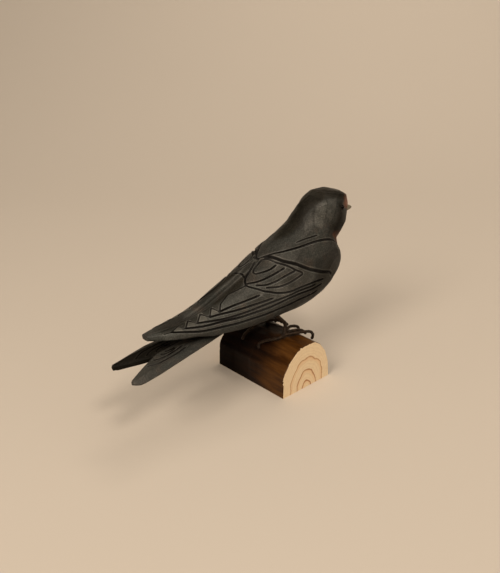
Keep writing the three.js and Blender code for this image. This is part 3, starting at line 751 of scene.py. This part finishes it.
def smooth_path(path, spacing):
    """A centripetal curve through the points, sampled at even distances."""
    p = np.array(path, float)
    first = 2 * p[0] - p[1]
    last = 2 * p[-1] - p[-2]
    p = np.vstack([first, p, last])
    knots = np.concatenate([[0], np.cumsum(np.linalg.norm(np.diff(p, axis=0), axis=1) ** 0.5)])
    curve = []
    for i in range(1, len(p) - 2):
        t0, t1, t2, t3 = knots[i - 1:i + 3]
        for t in np.linspace(t1, t2, 24, endpoint=i == len(p) - 3):
            a = (t1 - t) / (t1 - t0) * p[i - 1] + (t - t0) / (t1 - t0) * p[i]
            b = (t2 - t) / (t2 - t1) * p[i] + (t - t1) / (t2 - t1) * p[i + 1]
            c = (t3 - t) / (t3 - t2) * p[i + 1] + (t - t2) / (t3 - t2) * p[i + 2]
            d = (t2 - t) / (t2 - t0) * a + (t - t0) / (t2 - t0) * b
            e = (t3 - t) / (t3 - t1) * b + (t - t1) / (t3 - t1) * c
            curve.append((t2 - t) / (t2 - t1) * d + (t - t1) / (t2 - t1) * e)
    curve = np.array(curve)
    along = np.concatenate([[0], np.cumsum(np.linalg.norm(np.diff(curve, axis=0), axis=1))])
    even = np.linspace(0, along[-1], max(int(along[-1] / spacing), 4))
    return np.stack([np.interp(even, along, curve[:, k]) for k in range(3)], axis=-1), even


def tube(path, radius, sides=16, spacing=0.45):
    """Rings of a wire with hammered unevenness and a rounded free end."""
    points, along = smooth_path(path, spacing)
    tangents = np.gradient(points, axis=0)
    tangents /= np.linalg.norm(tangents, axis=1, keepdims=True)
    across = np.cross(tangents[0], [0, 1.0, 0.2])
    turn = np.linspace(0, 2 * math.pi, sides, endpoint=False)
    rings = []
    left = along[-1] - along
    for i, (p, t) in enumerate(zip(points, tangents)):
        across = across - t * (across @ t)
        across /= np.linalg.norm(across)
        up = np.cross(t, across)
        end = math.sqrt(max(1 - max(1 - left[i] / radius, 0) ** 2, 0.02))
        wave = 1 - 0.05 - 0.04 * np.sin(along[i] * 1.9 + 2 * turn) - 0.03 * math.sin(along[i] * 3.7)
        round_it = np.cos(turn)[:, None] * across + np.sin(turn)[:, None] * up
        rings.append(p + (radius * end * wave)[:, None] * round_it)
    return np.array(rings)


def leg_with_toes(name, leg, toes):
    wires = [tube(leg, LEG_RADIUS)] + [tube(toe, TOE_RADIUS) for toe in toes]
    made = None
    for k, rings in enumerate(wires):
        points, faces, _ = skin_over(rings, np.zeros((*rings.shape[:2], 1)))
        piece = make_mesh(f"{name}_{k}", points, faces, smooth_angle=60)
        if made is None:
            made = piece
            made.name = name
        else:
            join(made, piece)
    return made


# Half log
LOG_LENGTH = 56.5
LOG_END = [
    (-20, 0), (-19.6, 15.2), (-14.3, 22.5), (-8.6, 27), (-2.1, 28.6), (6.2, 28.4), (10.9, 25.4),
    (16, 18.8), (19, 10.4), (20, 0),
]
LOG_STEPS = 150
LOG_FACE_PIECES = 12
LOG_UNDER_PIECES = 19
LOG_CUTS = 110
LOG_CUT_DEPTH = (0.12, 0.42)
LOG_CUT_REACH = (7, 15)
LOG_RIM = 0.25


def log_rings():
    """Rings along the log, with the corners of its sawn end joined by straight faces."""
    corners = np.array(LOG_END, float)
    shape = []
    for a, b in zip(corners[:-1], corners[1:]):
        for t in np.arange(LOG_FACE_PIECES) / LOG_FACE_PIECES:
            shape.append(a + t * (b - a))
    shape.append(corners[-1])
    for t in np.linspace(0, 1, LOG_UNDER_PIECES + 1)[1:-1]:
        shape.append(corners[-1] + t * (corners[0] - corners[-1]))
    shape = np.array(shape)
    return np.array([
        np.column_stack([shape[:, 0], np.full(len(shape), y), shape[:, 1]])
        for y in np.linspace(-LOG_LENGTH / 2, LOG_LENGTH / 2, LOG_STEPS)
    ])


def knife_cut_log():
    """The log with long knife cuts on its back and slightly broken edges at its sawn ends."""
    rings = log_rings()
    flat_points = rings.reshape(-1, 3)
    middle = np.array([0.0, 0, 6])
    out = flat_points - middle
    out[:, 1] = 0
    out /= np.linalg.norm(out, axis=1, keepdims=True)
    shave = np.zeros(len(flat_points))
    for _ in range(LOG_CUTS):
        angle = random.uniform(-0.15, math.pi + 0.15)
        y = random.uniform(-LOG_LENGTH / 2, LOG_LENGTH / 2)
        direction = np.array([math.cos(angle), random.normal(0, 0.025), math.sin(angle)])
        direction /= np.linalg.norm(direction)
        reach = random.uniform(*LOG_CUT_REACH)
        along = np.abs(flat_points[:, 1] - y)
        facing = (out @ direction) > 0.86
        rows = np.nonzero((along < reach) & facing)[0]
        if not len(rows):
            continue
        height = flat_points[rows] @ direction
        limit = height.max() - random.uniform(*LOG_CUT_DEPTH)
        fade = smooth(reach, 0.6 * reach, along[rows])
        shave[rows] = np.maximum(shave[rows], fade * (height - limit))
    shave *= smooth(0.2, 2.5, flat_points[:, 2])
    rim = smooth(LOG_LENGTH / 2 - 0.5, LOG_LENGTH / 2, np.abs(flat_points[:, 1]))
    moved = flat_points - out * (shave + LOG_RIM * rim)[:, None]
    moved[:, 2] = np.where(flat_points[:, 2] < 1e-6, 0, moved[:, 2])
    rings = moved.reshape(rings.shape)
    points, faces, _ = skin_over(rings, np.zeros((*rings.shape[:2], 1)))
    return make_mesh("knife_cut_log", points, faces, smooth_angle=24)


right_eye = bead("right_eye_bead", 1)
left_eye = bead("left_eye_bead", -1)
right_leg = leg_with_toes("right_wire_leg", RIGHT_LEG, RIGHT_TOES)
left_leg = leg_with_toes("left_wire_leg", LEFT_LEG, LEFT_TOES)
half_log = knife_cut_log()


# Materials
class Nodes:
    """A material with helpers for its node tree."""

    def __init__(self, name):
        self.material = bpy.data.materials.new(name)
        self.material.use_nodes = True
        self.tree = self.material.node_tree
        self.shader = self.tree.nodes["Principled BSDF"]
        self.place = self.add("ShaderNodeTexCoord").outputs["Object"]

    def add(self, kind, **settings):
        node = self.tree.nodes.new(kind)
        for key, value in settings.items():
            setattr(node, key, value)
        return node

    def link(self, source, target):
        self.tree.links.new(source, target)

    def put(self, socket, value):
        if isinstance(value, bpy.types.NodeSocket):
            self.link(value, socket)
        else:
            socket.default_value = value

    def noise(self, scale, detail=4, rough=0.55, stretch=None, distort=0.0):
        node = self.add("ShaderNodeTexNoise")
        node.inputs["Scale"].default_value = scale
        node.inputs["Detail"].default_value = detail
        node.inputs["Roughness"].default_value = rough
        node.inputs["Distortion"].default_value = distort
        place = self.place
        if stretch:
            mapping = self.add("ShaderNodeMapping")
            mapping.inputs["Scale"].default_value = stretch
            self.link(place, mapping.inputs["Vector"])
            place = mapping.outputs["Vector"]
        self.link(place, node.inputs["Vector"])
        return node.outputs["Fac"]

    def attribute(self, name):
        return self.add("ShaderNodeAttribute", attribute_name=name).outputs["Fac"]

    def ramp(self, value, low, high, to_low=0.0, to_high=1.0):
        node = self.add("ShaderNodeMapRange", interpolation_type="SMOOTHSTEP")
        self.link(value, node.inputs["Value"])
        node.inputs["From Min"].default_value = low
        node.inputs["From Max"].default_value = high
        node.inputs["To Min"].default_value = to_low
        node.inputs["To Max"].default_value = to_high
        return node.outputs["Result"]

    def math(self, operation, a, b=0.0):
        node = self.add("ShaderNodeMath", operation=operation)
        self.put(node.inputs[0], a)
        self.put(node.inputs[1], b)
        return node.outputs["Value"]

    def mix(self, share, a, b, blend="MIX"):
        node = self.add("ShaderNodeMix", data_type="RGBA", blend_type=blend)
        self.put(node.inputs[0], share)
        for socket, value in ((node.inputs[6], a), (node.inputs[7], b)):
            self.put(socket, (*value, 1) if isinstance(value, tuple) else value)
        return node.outputs[2]

    def scaled(self, color, factor):
        node = self.add("ShaderNodeVectorMath", operation="SCALE")
        self.put(node.inputs[0], color)
        self.put(node.inputs["Scale"], factor)
        return node.outputs["Vector"]

    def axes(self):
        node = self.add("ShaderNodeSeparateXYZ")
        self.link(self.place, node.inputs["Vector"])
        return node.outputs

    def bump(self, height, strength, distance_mm, after=None):
        node = self.add("ShaderNodeBump")
        node.inputs["Strength"].default_value = strength
        node.inputs["Distance"].default_value = distance_mm * MM
        self.link(height, node.inputs["Height"])
        if after is not None:
            self.link(after, node.inputs["Normal"])
        return node.outputs["Normal"]

    def finish(self, color, roughness, normal=None, metallic=0.0, specular=0.5):
        self.put(self.shader.inputs["Base Color"], color)
        self.put(self.shader.inputs["Roughness"], roughness)
        self.shader.inputs["Metallic"].default_value = metallic
        self.put(self.shader.inputs["Specular IOR Level"], specular)
        if normal is not None:
            self.link(normal, self.shader.inputs["Normal"])
        return self.material


def painted_wood():
    m = Nodes("charcoal_painted_wood")
    broad = m.noise(38, detail=3)
    patchy = m.noise(150, detail=5, rough=0.6)
    grain = m.noise(900, detail=6, rough=0.65, stretch=(0.22, 1.0, 1.0))
    fine = m.noise(3200, detail=3)
    speckle = m.noise(1500, detail=4, rough=0.7)
    scratch = m.noise(620, detail=2, rough=0.4, stretch=(0.5, 1.0, 0.28), distort=1.6)
    paint = m.mix(m.ramp(broad, 0.36, 0.66), (0.019, 0.019, 0.017), (0.024, 0.027, 0.025))
    paint = m.mix(m.ramp(patchy, 0.40, 0.70), paint, (0.031, 0.031, 0.029))
    paint = m.mix(m.ramp(grain, 0.45, 0.80, 0, 0.5), paint, (0.046, 0.046, 0.043))
    brown = m.math("MULTIPLY", m.ramp(m.noise(75, detail=6), 0.52, 0.72), 0.4)
    paint = m.mix(brown, paint, (0.034, 0.022, 0.013))
    scratches = m.ramp(m.math("ABSOLUTE", m.math("SUBTRACT", scratch, 0.62)), 0.012, 0.0, 0, 0.45)
    paint = m.mix(scratches, paint, (0.085, 0.078, 0.066))
    paint = m.scaled(paint, m.ramp(speckle, 0.40, 0.66, 0.68, 1.7))
    # Painted highlight where the feather-tip facets face the lights
    paint = m.mix(m.math("MULTIPLY", m.attribute("worn"), 0.85), paint, (0.066, 0.066, 0.059))
    buff = m.mix(patchy, (0.33, 0.24, 0.16), (0.46, 0.36, 0.25))
    belly = m.ramp(m.math("ADD", m.attribute("pale"), m.math("MULTIPLY", m.noise(300), 0.5)), 0.62, 0.85)
    paint = m.mix(belly, paint, buff)
    chestnut = m.mix(patchy, (0.15, 0.052, 0.028), (0.24, 0.10, 0.055))
    paint = m.mix(m.attribute("rust"), paint, chestnut)
    beak_color = m.mix(patchy, (0.15, 0.135, 0.10), (0.25, 0.23, 0.17))
    paint = m.mix(m.attribute("beak"), paint, beak_color)
    # Painted light and shade: the paint is scaled by two to the power of the patches' stops, with a
    # painted highlight along the edges of the carved lines
    tone = m.attribute("tone")
    line = m.attribute("line")
    groove_edge_highlight = m.math("MULTIPLY", m.ramp(line, 0.02, 0.2, 0, 0.85), m.ramp(line, 0.46, 0.34))
    gain = m.math("POWER", 2.0, m.math("ADD", tone, groove_edge_highlight))
    # Painted shade is made warmer brown
    paint = m.mix(m.ramp(tone, -0.2, -1.2), paint, (1.1, 0.97, 0.8), "MULTIPLY")
    paint = m.scaled(paint, gain)
    # Painted shade in the sunk ground beside the feather tips, where the step above it shades it
    paint = m.mix(m.math("MULTIPLY", m.attribute("ground"), 0.55), paint, (0.013, 0.012, 0.008))
    paint = m.mix(m.ramp(line, 0.41, 0.51, 0, 0.99), paint, (0.0016, 0.001, 0.0006))
    normal = m.bump(grain, 0.35, 0.35)
    normal = m.bump(fine, 0.2, 0.15, normal)
    roughness = m.ramp(patchy, 0.3, 0.7, 0.42, 0.58)
    # The sheen rises and falls with the painted light and shade
    return m.finish(paint, roughness, normal, specular=m.math("MULTIPLY", gain, 0.22))


def black_bead():
    m = Nodes("polished_black_bead")
    dust = m.noise(1800, detail=3)
    color = m.mix(m.ramp(dust, 0.55, 0.8), (0.0015, 0.001, 0.001), (0.006, 0.004, 0.003))
    return m.finish(color, m.ramp(dust, 0.4, 0.8, 0.08, 0.2), specular=0.12)


def coated_wire():
    m = Nodes("brown_coated_wire")
    patchy = m.noise(420, detail=5, rough=0.65)
    fine = m.noise(2200, detail=4)
    color = m.mix(m.ramp(patchy, 0.38, 0.66), (0.014, 0.008, 0.005), (0.040, 0.024, 0.014))
    color = m.mix(m.ramp(fine, 0.58, 0.8, 0, 0.5), color, (0.11, 0.08, 0.055))
    normal = m.bump(patchy, 0.5, 0.4)
    normal = m.bump(fine, 0.3, 0.15, normal)
    return m.finish(color, m.ramp(fine, 0.3, 0.7, 0.38, 0.6), normal, metallic=0.1, specular=0.2)


def stained_log():
    m = Nodes("stained_half_log")
    x, y, z = m.axes()
    streak = m.noise(260, detail=5, rough=0.6, stretch=(1.0, 0.12, 1.0), distort=0.4)
    broad = m.noise(60, detail=3, stretch=(1.0, 0.5, 1.0))
    # Painted light: the bark turns golden towards the end at -Y, which faces the lights
    lit_end_share = m.ramp(m.math("ADD", y, m.math("MULTIPLY", broad, 0.03)), 0.016, -0.010)
    stain = m.mix(m.ramp(streak, 0.35, 0.7), (0.006, 0.0018, 0.0007), (0.021, 0.0075, 0.0022))
    lit_golden_bark = m.mix(m.ramp(streak, 0.3, 0.7), (0.040, 0.0135, 0.0022), (0.115, 0.046, 0.0085))
    # Painted shade under the swallow: the bark darkens towards the +Y end, except on its +X side
    shade_under_swallow = m.math("MAXIMUM", m.ramp(y, -0.004, 0.022, 1.0, 0.25), m.ramp(x, -0.002, 0.012))
    bark = m.scaled(m.mix(m.math("MULTIPLY", lit_end_share, 0.85), stain, lit_golden_bark), shade_under_swallow)
    # End grain: growth rings round the middle of the underside, taller than wide
    wobble = m.math("MULTIPLY", m.math("SUBTRACT", m.noise(110, detail=3), 0.5), 0.004)
    tall = m.math("DIVIDE", z, 1.45)
    radius = m.math("SQRT", m.math("ADD", m.math("MULTIPLY", x, x), m.math("MULTIPLY", tall, tall)))
    radius = m.math("ADD", radius, wobble)
    wood = m.mix(m.noise(500, detail=5, stretch=(1, 0.2, 1)), (0.84, 0.64, 0.41), (0.96, 0.80, 0.56))
    for ring_mm, width_mm, strength in ((3.6, 0.6, 0.95), (8.1, 0.6, 0.85), (13.8, 0.55, 0.65)):
        within = m.math("SUBTRACT", radius, ring_mm * MM)
        band = m.math("MULTIPLY", m.ramp(within, -2.2 * MM, 0.0, 0, 0.4), m.ramp(within, 0.3 * MM, 0.0))
        wood = m.mix(band, wood, (0.74, 0.40, 0.17))
        ring = m.ramp(m.math("ABSOLUTE", within), 0.0, width_mm * MM, strength, 0.0)
        wood = m.mix(ring, wood, (0.40, 0.15, 0.045))
    fine_rings = m.math("SINE", m.math("MULTIPLY", radius, 4200.0))
    wood = m.mix(m.ramp(fine_rings, 0.3, 1.0, 0, 0.16), wood, (0.55, 0.38, 0.22))
    at_end = m.ramp(m.math("ABSOLUTE", y), (LOG_LENGTH / 2 - 0.12) * MM, (LOG_LENGTH / 2 - 0.02) * MM)
    under = m.ramp(z, 0.00012, 0.00002)
    ragged = m.math("MULTIPLY", m.math("SUBTRACT", m.noise(420, detail=3), 0.5), 0.0035)
    chip_at = m.math("ADD", m.math("ABSOLUTE", y), ragged)
    chips = m.ramp(chip_at, (LOG_LENGTH / 2 - 0.05) * MM, (LOG_LENGTH / 2 + 0.1) * MM, 0, 0.8)
    bare = m.math("MAXIMUM", m.math("MAXIMUM", at_end, chips), m.math("MULTIPLY", under, 0.9))
    color = m.mix(bare, bark, wood)
    saw = m.noise(700, detail=4, stretch=(1.0, 1.0, 0.15))
    normal = m.bump(streak, 0.35, 0.5)
    normal = m.bump(saw, 0.25, 0.12, normal)
    gloss = m.ramp(streak, 0.3, 0.75, 0.32, 0.5)
    roughness = m.math("MAXIMUM", gloss, m.math("MULTIPLY", bare, 0.72))
    # The painted shade under the swallow also dims the sheen
    return m.finish(color, roughness, normal, specular=m.math("MULTIPLY", shade_under_swallow, 0.14))


def dress(thing, material, slot, *nodes):
    thing.data.materials.clear()
    thing.data.materials.append(material)
    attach(thing, "root")
    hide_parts(*nodes)


bead_material = black_bead()
wire_material = coated_wire()
dress(swallow, painted_wood(), "swallow", "swallow")
dress(right_eye, bead_material, "right_eye", "right_eye")
dress(left_eye, bead_material, "left_eye", "left_eye")
dress(right_leg, wire_material, "right_leg", "right_leg")
dress(left_leg, wire_material, "left_leg", "left_leg")
dress(half_log, stained_log(), "half_log", "half_log")


# Floor that sweeps up into a backdrop behind the swallow, seen from the photograph's side
SWEEP_FLAT = 0.35
SWEEP_RADIUS = 1.1
SWEEP_WIDTH = 4.5
SWEEP_NEAR = -2.6
SWEEP_TOP = 3.6


def sweep():
    heading = math.radians(CAMERA_AZIMUTH)
    forward = np.array([-math.sin(heading), math.cos(heading)])
    right = np.array([math.cos(heading), math.sin(heading)])
    profile = [(SWEEP_NEAR, 0), (SWEEP_FLAT, 0)]
    for angle in np.linspace(0.06, math.pi / 2, 26):
        along = SWEEP_FLAT + SWEEP_RADIUS * math.sin(angle)
        profile.append((along, SWEEP_RADIUS * (1 - math.cos(angle))))
    profile.append((SWEEP_FLAT + SWEEP_RADIUS, SWEEP_TOP))
    points = []
    for along, height in profile:
        for side in (-SWEEP_WIDTH, SWEEP_WIDTH):
            points.append((*(forward * along + right * side), height))
    faces = [(2 * i, 2 * i + 1, 2 * i + 3, 2 * i + 2) for i in range(len(profile) - 1)]
    mesh = bpy.data.meshes.new("floor_sweep")
    mesh.from_pydata(points, [], faces)
    mesh.shade_smooth()
    floor = bpy.data.objects.new("floor_sweep", mesh)
    bpy.context.scene.collection.objects.link(floor)
    m = Nodes("warm_paper")
    color = m.mix(m.noise(2.0, detail=2), (0.62, 0.575, 0.525), (0.64, 0.595, 0.545))
    mesh.materials.append(m.finish(color, 0.9, specular=0.1))


LIGHT_COLOR = (1.0, 0.846, 0.672)
AIM = Vector((0, 0, 0.04))


def soft_light(name, towards, distance, size, power, aim=AIM):
    """A round soft light at a distance from its aim, in the given direction from it."""
    light = bpy.data.lights.new(name, "AREA")
    light.shape = "DISK"
    light.size = size
    light.energy = power
    light.color = LIGHT_COLOR
    lamp = bpy.data.objects.new(name, light)
    offset = Vector(towards).normalized() * distance
    lamp.location = aim + offset
    lamp.rotation_mode = "QUATERNION"
    lamp.rotation_quaternion = (-offset).to_track_quat("-Z", "Y")
    bpy.context.scene.collection.objects.link(lamp)


def camera():
    heading, pitch = math.radians(CAMERA_AZIMUTH), math.radians(CAMERA_PITCH)
    level = Vector((-math.sin(heading), math.cos(heading), 0))
    forward = level * math.cos(pitch) - Vector((0, 0, math.sin(pitch)))
    right = Vector((math.cos(heading), math.sin(heading), 0))
    up = right.cross(forward)
    data = bpy.data.cameras.new("photo_camera")
    data.lens = CAMERA_LENS
    data.sensor_width = 36
    data.sensor_fit = "AUTO"
    data.clip_start = 0.01
    data.clip_end = 20
    thing = bpy.data.objects.new("photo_camera", data)
    turn = Matrix((right, up, -forward)).transposed().to_4x4()
    thing.matrix_world = Matrix.Translation(Vector(CAMERA_AT) * MM) @ turn
    bpy.context.scene.collection.objects.link(thing)
    bpy.context.scene.camera = thing


sweep()
camera()
soft_light("right_key", (-12, -38, 52), 1.3, 0.3, 4.9)
soft_light("tail_side_key", (-97, -20, 85), 1.3, 0.6, 8.8)
soft_light("right_fill", (30, -60, 100), 1.6, 2.2, 6.6)
soft_light("backdrop_wash", (-0.35, -0.3, 0.9), 1.05, 0.5, 3.2, aim=Vector((0.95, 0.55, 0.1)))
world = bpy.data.worlds.new("soft_room")
world.use_nodes = True
world.node_tree.nodes["Background"].inputs["Color"].default_value = (*LIGHT_COLOR, 1)
world.node_tree.nodes["Background"].inputs["Strength"].default_value = 0.18
bpy.context.scene.world = world
bpy.context.scene.view_settings.view_transform = "Standard"
